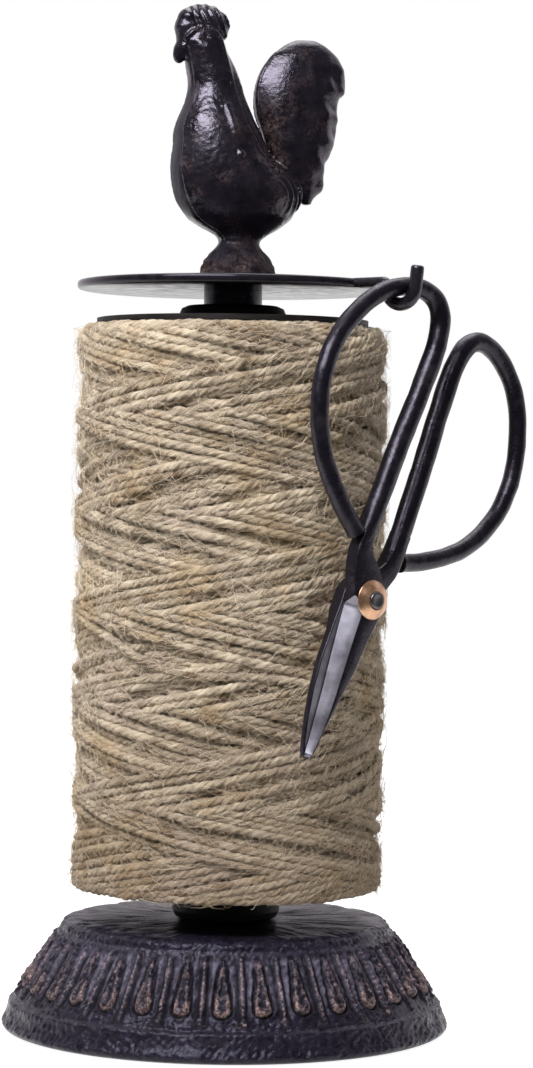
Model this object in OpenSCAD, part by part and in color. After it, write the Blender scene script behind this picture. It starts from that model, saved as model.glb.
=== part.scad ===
// String holder: cast foot, spindle with a turning ball of twine, rooster finial, hanging scissors.
// Millimetres, +Z up, the foot stands on z = 0 and the spindle is the Z axis.

/* [Foot] */
// Diameter of the foot where it stands
base_d = 100; // [80:1:130]
// Height of the foot
base_h = 24.2; // [18:0.2:32]
// Diameter of the flat top of the foot
base_top_d = 72.8; // [60:0.2:90]
// Wall thickness of the casting
base_wall = 4.5; // [3:0.1:7]
// Number of raised drops round the foot
drop_count = 32; // [16:1:40]
// Height of the drop relief
drop_relief = 0.9; // [0.4:0.1:1.5]

/* [Spindle] */
// Diameter of the spindle
spindle_d = 13; // [10:0.5:16]
// Height of the shoulder that carries the disc
spindle_top = 164.4; // [120:0.2:200]
// Diameter of the threaded spigot under the spindle
spigot_d = 8; // [6:0.5:10]
// Diameter of the finial's stud
stud_d = 6; // [5:0.5:8]
// Thread length engaged by the stud
stud_grip = 5; // [3:0.5:10]

/* [Disc and hook] */
// Diameter of the disc
disc_d = 69.4; // [60:0.2:90]
// Thickness of the disc
disc_t = 2; // [1.2:0.1:4]
// Direction of the hook, from +X towards the front
hook_angle = 39; // [20:0.1:60]
// Distance of the middle of the hook's bend from the spindle
hook_reach = 46.7; // [44:0.1:60]
// Diameter of the hook's wire
hook_d = 2.9; // [2:0.1:3.6]
// Radius of the hook's bend
hook_bend = 3.8; // [3.8:0.1:6]

/* [Spool] */
// Outer diameter of the wound twine
twine_d = 68.8; // [60:0.2:74]
// Diameter of one strand
strand_d = 2.3; // [1.6:0.1:2.6]
// Height of the lower edge of the twine
twine_low = 32.5; // [28:0.1:40]
// Height of the upper edge of the twine
twine_high = 156.8; // [100:0.2:158]
// Diameter of the hubs
hub_d = 24; // [20:0.5:30]
// Diameter of the flanges
flange_d = 60.6; // [50:0.2:64]
// Double traverses of the outer strand
traverses = 4; // [2:1:4]
// Turns in each double traverse
traverse_turns = 5.75; // [3.75:1:5.75]

/* [Finial] */
// Height of the rooster above the disc
rooster_h = 62.6; // [50:0.2:80]
// Turn of the rooster towards the front
rooster_yaw = 15; // [0:1:40]

/* [Scissors] */
// Turn of the scissors' plane from the front towards the right
scissor_yaw = 41; // [25:1:55]
// Lean of the scissors' long axis as they hang
scissor_lean = 24.6; // [15:0.1:35]
// Diameter of the handle wire along the stems
bow_d = 4.7; // [4:0.1:5]
// Diameter of the handle wire round the bows
ring_d = 4; // [3:0.1:4.2]
// Length of the blades from the rivet
blade_l = 37; // [30:0.2:50]
// Thickness of each half at the rivet
blade_t = 3.5; // [2.4:0.1:4]
// Thickness of each blade at its tip
tip_t = 1.4; // [1:0.1:2]
// Diameter of the rivet
rivet_d = 3.8; // [3:0.1:5]
// Diameter of the domed washers
washer_d = 8.5; // [7:0.1:10]

/* [Hidden] */
$fn = 48;
fit = 0.05;
slip = 0.08;
clear = 0.3;
base_r = base_d / 2;
top_r = base_top_d / 2;
spindle_r = spindle_d / 2;
stud_r = stud_d / 2;
disc_r = disc_d / 2;
disc_top = spindle_top + disc_t;
wire_r = hook_d / 2;
bow_r = bow_d / 2;
ring_r = ring_d / 2;
strand_r = strand_d / 2;
rivet_r = rivet_d / 2;
washer_r = washer_d / 2;
hub_r = hub_d / 2;
flange_t = 1.2;
tube_r = spindle_r + 2.5;
deck_t = 5;
nut_h = 6.5;
clamp_t = 1.6;
// length of stud inside the rooster
stud_hold = 6;
hub_top = spindle_top - 3.3;
// half gap between the two scissor halves
blade_gap = 0.05;
// middle of the bows in front of and behind the scissors' middle plane
bow_off = bow_r + blade_gap;
// strand layers: climbing strands lie inside the falling ones
outer_layer = twine_d / 2 - strand_r;
layer_gap = 0.6;
inner_layer = outer_layer - strand_d - layer_gap;
core_r = inner_layer - strand_r - 0.6;

// Curves and lofts

function catmull(a, b, c, d, t) =
    0.5 * (2 * b + (c - a) * t + (2 * a - 5 * b + 4 * c - d) * t * t
           + (3 * b - a - 3 * c + d) * t * t * t);

function held(list, i) = list[max(0, min(len(list) - 1, i))];

function smooth(list, steps) =
    [for (i = [0 : len(list) - 2], k = [0 : steps - 1])
        catmull(held(list, i - 1), list[i], list[i + 1], held(list, i + 2), k / steps),
     list[len(list) - 1]];

// solid through a list of rings that all have the same number of points
module skin(rings) {
    n = len(rings[0]);
    last = len(rings) - 1;
    sides = [for (i = [0 : last - 1], j = [0 : n - 1], half = [0, 1])
        half == 0
            ? [i * n + j, (i + 1) * n + j, i * n + (j + 1) % n]
            : [i * n + (j + 1) % n, (i + 1) * n + j, (i + 1) * n + (j + 1) % n]];
    first_cap = [for (j = [0 : n - 1]) j];
    last_cap = [for (j = [n - 1 : -1 : 0]) last * n + j];
    polyhedron(points = [for (ring = rings) each ring], faces = concat(sides, [first_cap, last_cap]));
}

// oval slices [height, middle, half length, half width] stacked into a solid
module stack(slices, n) {
    skin([for (s = slices)
        [for (j = [0 : n - 1]) [s[1] + s[2] * cos(360 * j / n), s[3] * sin(360 * j / n), s[0]]]]);
}

// round wire along a flat curve, its radius given point by point
module flat_wire(path, radii, n) {
    last = len(path) - 1;
    skin([for (i = [0 : last])
        let (step = path[min(last, i + 1)] - path[max(0, i - 1)],
             along = step / norm(step),
             across = [-along[1], along[0]],
             r = radii[i])
        [for (j = [0 : n - 1])
            [path[i][0] + across[0] * r * cos(360 * j / n),
             path[i][1] + across[1] * r * cos(360 * j / n),
             r * sin(360 * j / n)]]]);
}

// Foot

// straight flank that carries the drops: outer ends as [radius, height]
flank_top = [top_r + 0.9, base_h - 2.4];
flank_low = [base_r - 3.1, base_h * 0.29];
flank = flank_top - flank_low;
flank_l = norm(flank);
flank_tilt = atan2(flank_low[0] - flank_top[0], flank[1]);

module foot_profile() {
    hollow_r = base_r - base_wall;
    roof = base_h - deck_t;
    difference() {
        polygon([[0, 0], [base_r - 2, 0], [base_r - 0.6, 0.6], [base_r, 2], [base_r - 0.4, 3.2], [base_r - 2, 6.4],
                 flank_low, flank_top, [top_r + 0.75, base_h - 1.4], [top_r + 0.1, base_h - 0.5],
                 [top_r - 1.8, base_h], [0, base_h]]);
        polygon([[0, -1], [hollow_r, -1], [hollow_r, 2], [top_r - base_wall + 1, roof - 2],
                 [top_r - base_wall - 1, roof], [0, roof]]);
    }
}

// drop with a round lower end, laid from its round end upwards
function drop_outline(low_r, high_r, long) = concat(
    [for (a = [180 : 30 : 360]) [low_r * cos(a), low_r * sin(a)]],
    [for (a = [0 : 60 : 180]) [high_r * cos(a), long + high_r * sin(a)]]);

module on_flank(turn, up) {
    rotate([0, 0, turn])
        translate([flank_low[0] + flank[0] * up / flank_l, 0, flank_low[1] + flank[1] * up / flank_l])
            rotate([90 - flank_tilt, 0, 90])
                children();
}

// radius of a drop's round end and where its middle stands up the flank
drop_r = 0.24 * 2 * PI * base_r / drop_count;
drop_up = drop_r + 2.4;

module drop() {
    low_r = drop_r;
    long = flank_l - drop_up - low_r * 0.5 - 0.4;
    translate([0, 0, -0.8])
        linear_extrude(0.8 + drop_relief)
            difference() {
                polygon(drop_outline(low_r, low_r * 0.5, long));
                polygon(drop_outline(low_r * 0.8, low_r * 0.32, long - 0.6));
            }
    // smaller drop inside the rim
    translate([0, 0, -0.8])
        linear_extrude(0.8 + drop_relief * 0.8)
            polygon(drop_outline(low_r * 0.58, low_r * 0.2, long - 1.4));
}

module dart() {
    translate([0, 0, -0.8])
        linear_extrude(0.8 + drop_relief * 0.7)
            polygon([[-1.4, 0.1], [1.4, 0.1], [0.5, 2.4], [0.4, flank_l - 1], [-0.4, flank_l - 1], [-0.5, 2.4]]);
}

module base() {
    color("#2b2624")
        difference() {
            union() {
                rotate_extrude($fn = 96) foot_profile();
                for (i = [0 : drop_count - 1]) {
                    on_flank(-90 + i * 360 / drop_count, drop_up) drop();
                    on_flank(-90 + (i + 0.5) * 360 / drop_count, 0) dart();
                }
            }
            cylinder(r = spigot_d / 2 + fit, h = base_h + 1);
        }
}

// Spindle and its clamp

module spindle() {
    spigot_l = deck_t + clamp_t + nut_h + 1.5;
    color("#26262a")
        difference() {
            union() {
                translate([0, 0, base_h]) cylinder(r = spindle_r, h = spindle_top - base_h);
                translate([0, 0, base_h - spigot_l]) cylinder(r = spigot_d / 2, h = spigot_l + 1);
            }
            translate([0, 0, spindle_top - stud_grip - 3]) cylinder(r = stud_r + fit, h = stud_grip + 4);
        }
}

module spindle_washer() {
    color("#8b8d90")
        translate([0, 0, base_h - deck_t - clamp_t])
            difference() {
                cylinder(r = spigot_d, h = clamp_t);
                translate([0, 0, -1]) cylinder(r = spigot_d / 2 + fit, h = clamp_t + 2);
            }
}

module spindle_nut() {
    color("#8b8d90")
        translate([0, 0, base_h - deck_t - clamp_t - nut_h])
            difference() {
                cylinder(r = spigot_d * 0.94, h = nut_h, $fn = 6);
                translate([0, 0, -1]) cylinder(r = spigot_d / 2 + fit, h = nut_h + 2);
            }
}

// Disc and hook

module top_disc() {
    color("#1d1d20")
        translate([0, 0, spindle_top])
            difference() {
                cylinder(r = disc_r, h = disc_t, $fn = 96);
                translate([0, 0, -1]) cylinder(r = stud_r + clear, h = disc_t + 2);
            }
}

// heights of the hook: its root is level with the disc's rim, its bend hangs below
hook_z = disc_top - 0.5;
root_bend = 1.6;
root_r = hook_reach - hook_bend;
bend_z = hook_z - root_bend;
// the tip leans outwards and stands a little above the disc
tip_lean = 7;
tip_l = 5;
// slack between the hook and the bow that hangs in it
hook_slack = 0.1;

function arc(middle, r, from, to, steps) =
    [for (i = [0 : steps]) let (a = from + (to - from) * i / steps) middle + r * [cos(a), sin(a)]];

// middle line of the hook as [distance from the spindle, height]
hook_curve = concat([[disc_r + 0.02, hook_z]],
                    arc([root_r - root_bend, bend_z], root_bend, 90, 10, 5),
                    arc([hook_reach, bend_z], hook_bend, 180, 360 - tip_lean, 16));
hook_end = hook_curve[len(hook_curve) - 1];
hook_line = concat(hook_curve, [hook_end + tip_l * [sin(tip_lean), cos(tip_lean)]]);

module scissor_hook() {
    color("#1d1d20")
        rotate([0, 0, -hook_angle])
            rotate([90, 0, 0])
                flat_wire(hook_line, [for (p = hook_line) wire_r], 20);
}

// Spool

module bobbin_tube() {
    color("#3a3a3d")
        translate([0, 0, base_h + 3])
            difference() {
                cylinder(r = tube_r, h = hub_top - base_h - 4.5);
                translate([0, 0, -1]) cylinder(r = tube_r - 1.6, h = hub_top - base_h);
            }
}

module flange(z) {
    translate([0, 0, z])
        difference() {
            cylinder(r = flange_d / 2, h = flange_t, $fn = 96);
            translate([0, 0, -1]) cylinder(r = tube_r + fit, h = flange_t + 2);
        }
}

module bobbin_lower_flange() {
    color("#2a2a2c") flange(twine_low - flange_t);
}

module bobbin_upper_flange() {
    color("#2a2a2c") flange(twine_high);
}

// turned hub: rounded on its outer end, counterbored for the tube on its inner end
module hub(h, seat) {
    round_r = 2;
    difference() {
        union() {
            rotate_extrude()
                polygon([[0, 0], [hub_r - round_r, 0], [hub_r - 0.6, 0.6], [hub_r, round_r], [hub_r, h], [0, h]]);
        }
        translate([0, 0, -1]) cylinder(r = spindle_r + slip, h = h + 2);
        translate([0, 0, seat]) cylinder(r = tube_r + fit, h = h);
    }
}

module bobbin_lower_hub() {
    color("#232325")
        translate([0, 0, base_h + 0.05]) hub(twine_low - flange_t - base_h - 0.05, 2.95);
}

module bobbin_upper_hub() {
    color("#232325")
        translate([0, 0, hub_top]) mirror([0, 0, 1]) hub(hub_top - twine_high - flange_t, 1.5);
}

module twine_core() {
    color("#a8926a")
        translate([0, 0, twine_low])
            difference() {
                cylinder(r = core_r, h = twine_high - twine_low);
                translate([0, 0, -1]) cylinder(r = tube_r + fit, h = twine_high);
            }
}

// cross-wound strand: height runs up and down while the angle always grows
ring_step = 15;
winding_low = twine_low + strand_r + 2;
winding_high = twine_high - strand_r - 2;
// the strand stops short of closing on its own start
turns_total = traverses * traverse_turns - 0.5;

function wave(turn) = let (f = turn / traverse_turns - floor(turn / traverse_turns)) f;
function strand_z(turn) =
    let (f = wave(turn)) winding_low + (winding_high - winding_low) * (f < 0.5 ? 2 * f : 2 - 2 * f);
function ease(x) = let (c = max(0, min(1, x))) c * c * (3 - 2 * c);
// share of the outer layer: falls to the inner one as the strand turns back at the bottom
function strand_lift(turn) =
    let (f = wave(turn), w = 0.1 / traverse_turns)
    ease((f - 0.5 + w) / (2 * w)) - ease((f - 1 + w) / (2 * w)) + 1 - ease((f + w) / (2 * w));
function strand_point(turn) =
    let (r = inner_layer + (outer_layer - inner_layer) * strand_lift(turn))
    [r * cos(360 * turn), r * sin(360 * turn), strand_z(turn)];

strand_path = [for (a = [0 : ring_step : turns_total * 360 + 0.01]) strand_point(a / 360)];

// straight ends, one strand diameter long
function run_out(a, b) = b + (b - a) / norm(b - a) * strand_d;
strand_line = concat([run_out(strand_path[1], strand_path[0])], strand_path,
                     [run_out(strand_path[len(strand_path) - 2], strand_path[len(strand_path) - 1])]);

module twine_winding() {
    last = len(strand_line) - 1;
    rings = [for (i = [0 : last])
        let (step = strand_line[min(last, i + 1)] - strand_line[max(0, i - 1)],
             along = step / norm(step),
             out0 = [strand_line[i][0], strand_line[i][1], 0],
             out1 = out0 - along * (out0 * along),
             out = out1 / norm(out1),
             side = cross(along, out))
        [for (j = [0 : 5]) strand_line[i] + (out * cos(60 * j) + side * sin(60 * j)) * strand_r]];
    color("#b39d75") skin(rings);
}

// least gap between strand passes, over points more than a third of a turn apart
skip = 8;
gaps = [for (i = [0 : len(strand_line) - 1 - skip])
    min([for (k = [i + skip : len(strand_line) - 1]) norm(strand_line[i] - strand_line[k])])];
echo(strand_gap = min(gaps) - strand_d, strand_loops = turns_total);

// Finial

module finial_stud() {
    color("#77797c")
        translate([0, 0, spindle_top - stud_grip]) cylinder(r = stud_r, h = stud_grip + disc_t + stud_hold);
}

// slices of the foot, body, neck and head: [height, middle, half length, half width]
body_slices = [[0, 1.1, 9.4, 8.2], [2.7, 1.1, 8.4, 7.6], [4.1, 0.8, 7.8, 7], [6.7, 0.8, 6.1, 5.6],
    [8.1, 1, 4.8, 4.6], [9.4, 1.3, 4.7, 4.5], [10.8, 1.7, 6.2, 5.3], [12.1, 1.5, 8.7, 6.6], [14.7, 1.1, 12, 8.6],
    [17.4, 0.9, 13.8, 10], [20, 0.6, 14.5, 10.8], [22.7, -0.5, 13.9, 10.9], [25.4, -2, 12.7, 10.4],
    [28, -3.1, 11.3, 9.7], [32, -4, 10.3, 8.9], [36.1, -4.5, 8.8, 7.7], [40.1, -4.5, 7, 6.4], [44.1, -4.9, 6, 5.5],
    [48, -6, 5.6, 5], [50.8, -6.9, 5.3, 4.7], [53.4, -7.4, 4.9, 4.3], [55.4, -7.8, 3.6, 3.2]];
tail_slices = [[18.8, 16.4, 1.8, 1.4], [20.4, 16, 3.6, 2.4], [23, 15.4, 4.9, 3.2], [25.7, 14.6, 5.9, 3.8],
    [28.3, 14.3, 6.9, 4.4], [32.3, 14.6, 8.3, 5], [36.3, 14.1, 9.1, 5.4], [40.3, 13.8, 9.8, 5.5],
    [44.3, 14.7, 10.4, 5.5], [47, 15.2, 9.8, 5.2], [50, 15.4, 8.5, 4.4], [52.4, 15.5, 5.8, 3.2],
    [53.7, 15.5, 3.5, 2.2], [54.4, 15.7, 1.2, 1]];

module bead(x, z, r) {
    translate([x, 0, z]) sphere(r = r, $fn = 12);
}

module comb() {
    lobes = 6;
    for (i = [0 : lobes - 1]) {
        a = 165 - i * 28;
        scale([1, 1.5, 1])
            hull() {
                bead(-7.7, 55, 2.6);
                bead(-7.7 + 5.1 * cos(a), 55.9 + 4.6 * sin(a), 1.6);
            }
    }
}

// hooked beak under the front of the comb
module beak() {
    hull() {
        bead(-11.7, 53.2, 2.3);
        bead(-12.6, 50.4, 1.4);
        bead(-12.8, 49.2, 0.8);
    }
}

module eyes() {
    for (side = [-1, 1])
        translate([-10.6, side * 3.4, 52.4]) sphere(r = 1, $fn = 12);
}

// lobed rear edge of the tail
module tail_feathers() {
    for (f = [[24.2, 46.4], [22.8, 40], [22.1, 34], [19.6, 24.6]])
        hull() {
            bead(f[0] - 5, f[1] + 2, 3.2);
            bead(f[0] - 0.6, f[1] - 1.6, 1.8);
        }
}

module rooster_finial() {
    k = rooster_h / 62.6;
    color("#242227")
        translate([0, 0, disc_top])
            rotate([0, 0, rooster_yaw])
                difference() {
                    scale(k) {
                        stack(smooth(body_slices, 2), 28);
                        stack(smooth(tail_slices, 2), 24);
                        comb();
                        beak();
                        eyes();
                        tail_feathers();
                    }
                    translate([0, 0, -1]) cylinder(r = stud_r + clear + 0.1, h = stud_hold + 1.3, $fn = 24);
                }
}

// Scissors, drawn flat: x across, y along, z towards the front, the rivet at the origin

// middle line of a bow that stands to the right of the rivet
bow_points = [[5.6, 4], [6.7, 11.8], [6.5, 33.4], [5.4, 55.6], [7.8, 64.8], [14.7, 66.5], [24.8, 60.9],
    [31.9, 48.2], [32.1, 35.8], [26.2, 23.6], [17, 15.8], [10.2, 11.8]];
bow_steps = 4;
bow_line = smooth(bow_points, bow_steps);
// thick along the stem, thinner round the bow
bow_radii = [for (i = [0 : len(bow_line) - 1])
    ring_r + (bow_r - ring_r) * (1 - ease((i - 3 * bow_steps) / (3 * bow_steps)))];

// blade to the left of the rivet, round its back and up the neck
blade_points = [[4.3, -2.6], [3.1, -blade_l * 0.4], [1.7, -blade_l * 0.73], [0.9, -blade_l],
    [-0.3, -blade_l + 0.5], [-0.8, -blade_l * 0.92], [-1.8, -blade_l * 0.77], [-2.9, -blade_l * 0.6],
    [-3.5, -blade_l * 0.42], [-3.5, -blade_l * 0.2], [-4.2, 0.6], [-1.7, 4.7], [0.2, 7.3], [4, 8.2], [4.6, 13.5],
    [8.9, 13.5], [10, 8.5], [9.1, 4.8], [6.7, 1], [5.3, -0.4]];

// one half with its bow on the right and its inner face on z = 0
module scissor_half() {
    heel = blade_points[0];
    tip = blade_points[3];
    taper = atan2(blade_t - tip_t, blade_l - washer_r);
    difference() {
        union() {
            difference() {
                linear_extrude(blade_t) polygon(blade_points);
                // thinner towards the tip
                translate([-10, -washer_r, blade_t])
                    rotate([taper, 0, 0]) translate([0, -2 * blade_l, 0]) cube([20, 2 * blade_l, 5]);
            }
            translate([0, 0, bow_r]) flat_wire(bow_line, bow_radii, 14);
        }
        // ground bevel along the cutting edge
        translate([heel[0], heel[1], 0.25])
            rotate([0, 0, -90 - atan2(heel[0] - tip[0], heel[1] - tip[1])])
                rotate([40, 0, 0])
                    translate([-1.2, 0, 0]) cube([blade_l + 6, 8, 8]);
        translate([0, 0, -1]) cylinder(r = rivet_r + fit, h = blade_t + 2);
    }
}

// hung place of the scissors: the left bow's top rests in the bend of the hook
hang = [hook_reach * cos(hook_angle), -hook_reach * sin(hook_angle)];
hang_top = bend_z - hook_bend + wire_r + hook_slack + ring_r + 0.05;
// the point of the left bow that hangs in the hook, in the flat drawing
bow_top = catmull(bow_points[4], bow_points[5], bow_points[6], bow_points[7], 0.55);
hang_point = [-bow_top[0], bow_top[1]];

module hung() {
    translate([hang[0], hang[1], hang_top])
        rotate([90, 0, scissor_yaw])
            rotate([0, 0, -scissor_lean])
                translate([-hang_point[0], -hang_point[1], -bow_off])
                    children();
}

module scissor_front_half() {
    color("#202024") hung() translate([0, 0, blade_gap]) mirror([1, 0, 0]) scissor_half();
}

module scissor_back_half() {
    color("#202024") hung() translate([0, 0, -blade_gap]) mirror([0, 0, 1]) scissor_half();
}

module scissor_rivet() {
    reach = blade_t + blade_gap + 1.9;
    color("#9a8a72") hung() translate([0, 0, -reach]) cylinder(r = rivet_r, h = 2 * reach);
}

// domed washer, flat side on z = 0
module domed_washer() {
    dome_h = 1.7;
    dome_r = (washer_r * washer_r + dome_h * dome_h) / (2 * dome_h);
    difference() {
        intersection() {
            translate([0, 0, dome_h - dome_r]) sphere(r = dome_r);
            cylinder(r = washer_r + 1, h = dome_h + 1);
        }
        translate([0, 0, -1]) cylinder(r = rivet_r + fit, h = dome_h + 3);
    }
}

module scissor_front_washer() {
    color("#a8743c") hung() translate([0, 0, blade_t + blade_gap]) domed_washer();
}

module scissor_back_washer() {
    color("#a8743c") hung() translate([0, 0, -blade_t - blade_gap]) mirror([0, 0, 1]) domed_washer();
}

base();
spindle();
spindle_washer();
spindle_nut();
top_disc();
scissor_hook();
bobbin_tube();
bobbin_lower_flange();
bobbin_upper_flange();
bobbin_lower_hub();
bobbin_upper_hub();
twine_core();
twine_winding();
finial_stud();
rooster_finial();
scissor_front_half();
scissor_back_half();
scissor_rivet();
scissor_front_washer();
scissor_back_washer();
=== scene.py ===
# Looks of the string holder, built in metres in the part's own frame.
import math

import bpy
import numpy as np
from mathutils import Matrix, Vector


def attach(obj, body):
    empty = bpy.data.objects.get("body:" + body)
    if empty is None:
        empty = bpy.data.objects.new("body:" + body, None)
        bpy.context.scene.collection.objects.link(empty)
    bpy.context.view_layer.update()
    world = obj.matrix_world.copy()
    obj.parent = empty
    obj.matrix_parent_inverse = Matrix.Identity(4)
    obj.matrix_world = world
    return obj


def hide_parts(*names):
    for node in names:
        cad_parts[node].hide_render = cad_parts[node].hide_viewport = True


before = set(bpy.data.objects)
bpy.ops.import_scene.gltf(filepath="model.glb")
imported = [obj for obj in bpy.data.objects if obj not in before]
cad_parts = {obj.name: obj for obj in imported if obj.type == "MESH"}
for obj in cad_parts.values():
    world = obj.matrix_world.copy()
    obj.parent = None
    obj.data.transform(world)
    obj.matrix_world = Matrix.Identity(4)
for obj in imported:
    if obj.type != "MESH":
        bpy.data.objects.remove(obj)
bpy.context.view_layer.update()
MM = 0.001
TAU = 2 * math.pi


# Node trees and materials

def srgb(red, green, blue):
    """Linear colour from 0 to 255 screen values."""
    parts = [c / 255 for c in (red, green, blue)]
    return tuple(c / 12.92 if c <= 0.04045 else ((c + 0.055) / 1.055) ** 2.4 for c in parts) + (1.0,)


class Nodes:
    """A node tree with short helpers.

    An underscore in an input's name stands for a space, and three numbers for a colour are screen values.
    """

    def __init__(self, tree):
        self.tree = tree

    def add(self, kind, settings=None, **inputs):
        node = self.tree.nodes.new(kind)
        for key, value in (settings or {}).items():
            setattr(node, key, value)
        self.fill(node, inputs)
        return node

    def fill(self, node, inputs):
        for key, value in inputs.items():
            self.put(node.inputs[key.replace("_", " ")], value)

    def put(self, socket, value):
        if isinstance(value, bpy.types.NodeSocket):
            self.tree.links.new(value, socket)
        elif socket.type == "RGBA" and len(value) == 3:
            socket.default_value = srgb(*value)
        else:
            socket.default_value = value

    def remap(self, value, low, high, to_low=0.0, to_high=1.0):
        node = self.add("ShaderNodeMapRange", Value=value, From_Min=low, From_Max=high,
                        To_Min=to_low, To_Max=to_high)
        return node.outputs["Result"]

    def math(self, operation, a, b, clamp=False):
        node = self.add("ShaderNodeMath", {"operation": operation, "use_clamp": clamp})
        self.put(node.inputs[0], a)
        self.put(node.inputs[1], b)
        return node.outputs["Value"]

    def plus(self, a, b, clamp=False):
        return self.math("ADD", a, b, clamp)

    def times(self, a, b, clamp=False):
        return self.math("MULTIPLY", a, b, clamp)

    def larger(self, a, b):
        return self.math("MAXIMUM", a, b)

    def mix(self, share, a, b):
        """Colour on the way from a to b."""
        node = self.add("ShaderNodeMix", {"data_type": "RGBA"}, Factor=share)
        self.put(node.inputs[6], a)
        self.put(node.inputs[7], b)
        return node.outputs[2]

    def between(self, share, a, b):
        """Number on the way from a to b."""
        return self.add("ShaderNodeMix", Factor=share, A=a, B=b).outputs["Result"]


class Look(Nodes):
    """A node material with helpers for its textures."""

    def __init__(self, name):
        self.material = bpy.data.materials.new(name)
        self.material.use_nodes = True
        super().__init__(self.material.node_tree)
        self.place = self.add("ShaderNodeTexCoord").outputs["Object"]

    def base(self, **inputs):
        self.fill(self.tree.nodes["Principled BSDF"], inputs)

    def noise(self, scale, detail=3.0, rough=0.55, where=None, distort=0.0):
        """Noise of one scale, or of a scale for each axis where it runs in lines."""
        where = where or self.place
        if isinstance(scale, tuple):
            where = self.add("ShaderNodeMapping", Vector=where, Scale=scale).outputs["Vector"]
            scale = 1.0
        node = self.add("ShaderNodeTexNoise", Vector=where, Scale=scale, Detail=detail,
                        Roughness=rough, Distortion=distort)
        return node.outputs["Fac"]

    def height(self):
        """Height above the floor in metres."""
        return self.add("ShaderNodeSeparateXYZ", Vector=self.place).outputs["Z"]

    def attribute(self, name):
        return self.add("ShaderNodeAttribute", {"attribute_name": name}).outputs["Fac"]

    def bump(self, height, strength, depth, under=None):
        node = self.add("ShaderNodeBump", Height=height, Strength=strength, Distance=depth)
        if under:
            self.put(node.inputs["Normal"], under)
        return node.outputs["Normal"]


PURPLE = (0.92, 0.84, 1.0, 1.0)
COPPER = dict(grain=(600, 4, 0.6), stain=(260, 3, 0.6), spread=(0.35, 0.68), rough=(0.25, 0.42),
              bump=(0.3, 0.0001))
# Plain finishes: two screen colours, noise [scale, detail, roughness] of the grain and of the stain that
# mixes the colours, range of roughness, bump [strength, depth], the stain's spread and shader constants
WORN = {
    # glossy black paint
    "black_enamel": dict(
        colours=((18, 16, 20), (30, 27, 32)), grain=(700, 4), stain=(90, 3),
        rough=(0.2, 0.36), bump=(0.25, 0.00012), Specular_Tint=PURPLE),
    # smoother paint of the disc
    "disc_enamel": dict(
        colours=((18, 16, 20), (28, 26, 30)), grain=(350, 3, 0.5), stain=(350, 3, 0.5),
        rough=(0.165, 0.26), bump=(0.05, 0.0001), Specular_IOR_Level=0.3, Specular_Tint=PURPLE),
    # black oxide with a soft sheen and a few rubbed spots
    "scissor_steel": dict(
        colours=((17, 15, 21), (48, 43, 48)), grain=(480, 4, 0.6), stain=(120, 3, 0.5),
        spread=(0.55, 0.75, 0, 0.5), rough=(0.22, 0.4), bump=(0.5, 0.0003), Specular_IOR_Level=0.38,
        Specular_Tint=PURPLE),
    # ground steel with grinding lines across the blade
    "ground_steel": dict(
        colours=((160, 157, 166), (108, 104, 112)), grain=((300, 300, 2600), 3, 0.6), stain=(160, 3, 0.6),
        rough=(0.42, 0.58), bump=(0.25, 0.00006), Metallic=0.85),
    # coppery washers and the duller ends of the rivet
    "rivet_brass": dict(colours=((222, 178, 144), (158, 116, 90)), Metallic=0.85, **COPPER),
    "rivet_end": dict(colours=((108, 104, 106), (70, 66, 68)), Metallic=0.8, **COPPER),
    # brown-black moulded bobbin, dull, with fine scuffs
    "bobbin_black": dict(
        colours=((17, 14, 14), (36, 30, 28)), grain=(900, 4, 0.6), stain=((160, 160, 1500), 3, 0.6),
        spread=(0.4, 0.7), rough=(0.45, 0.65), bump=(0.3, 0.00012), Specular_IOR_Level=0.25),
    # bare turned steel, a little dull
    "bare_steel": dict(
        colours=((176, 174, 172), (128, 122, 116)), grain=((200, 200, 3000), 3, 0.6), stain=(220, 3, 0.6),
        rough=(0.28, 0.44), bump=(0.2, 0.00005), Metallic=0.9)}


def worn_look(name, colours, grain, stain, rough, bump, spread=(0.35, 0.7), **constants):
    """Two colours mixed by a stain, with roughness and bump from a grain."""
    look = Look(name)
    fine = look.noise(*grain)
    share = look.remap(look.noise(*stain), *spread)
    look.base(Base_Color=look.mix(share, *colours), Roughness=look.remap(fine, 0.3, 0.7, *rough),
              Normal=look.bump(fine, *bump), **constants)
    return look.material


def jute_look(name, light, dark):
    """Straw-coloured fibres that run along the strand, with flecks, and painted shade that darkens and browns
    the lower turns.
    """
    look = Look(name)
    along = look.add("ShaderNodeTexCoord").outputs["UV"]
    fibre = look.noise((0.35, 3.2, 1), 4, 0.6, along)
    fine = look.noise((0.9, 9.0, 1), 3, 0.6, along)
    fleck = look.noise(900, 2, 0.5)
    cloud = look.noise(60, 3, 0.6)
    # the tone attribute holds random tone plus painted light and shade: darker ply grooves, lighter ply
    # crowns and a darker wound body
    share = look.plus(look.remap(fibre, 0.28, 0.72), look.times(look.attribute("tone"), 0.24), True)
    colour = look.mix(share, dark, light)
    ochre = look.remap(cloud, 0.52, 0.7, 0, 0.45)
    pale = look.remap(cloud, 0.46, 0.3, 0, 0.4)
    brown = look.remap(fleck, 0.66, 0.76, 0, 0.55)
    # painted shade: the lower turns are mixed towards a dark brown, as if less lit from above
    lower = look.remap(look.height(), 0.03, 0.085, 0.42, 0.0)
    for patch, tint in ((ochre, (172, 140, 88)), (pale, (196, 176, 164)),
                        (brown, (92, 66, 44)), (lower, (104, 80, 52))):
        colour = look.mix(patch, colour, tint)
    look.base(Base_Color=colour, Roughness=0.88, Specular_IOR_Level=0.25, Sheen_Weight=0.15,
              Sheen_Roughness=0.5, Normal=look.bump(look.plus(fibre, fine), 0.8, 0.0002))
    return look.material


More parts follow.
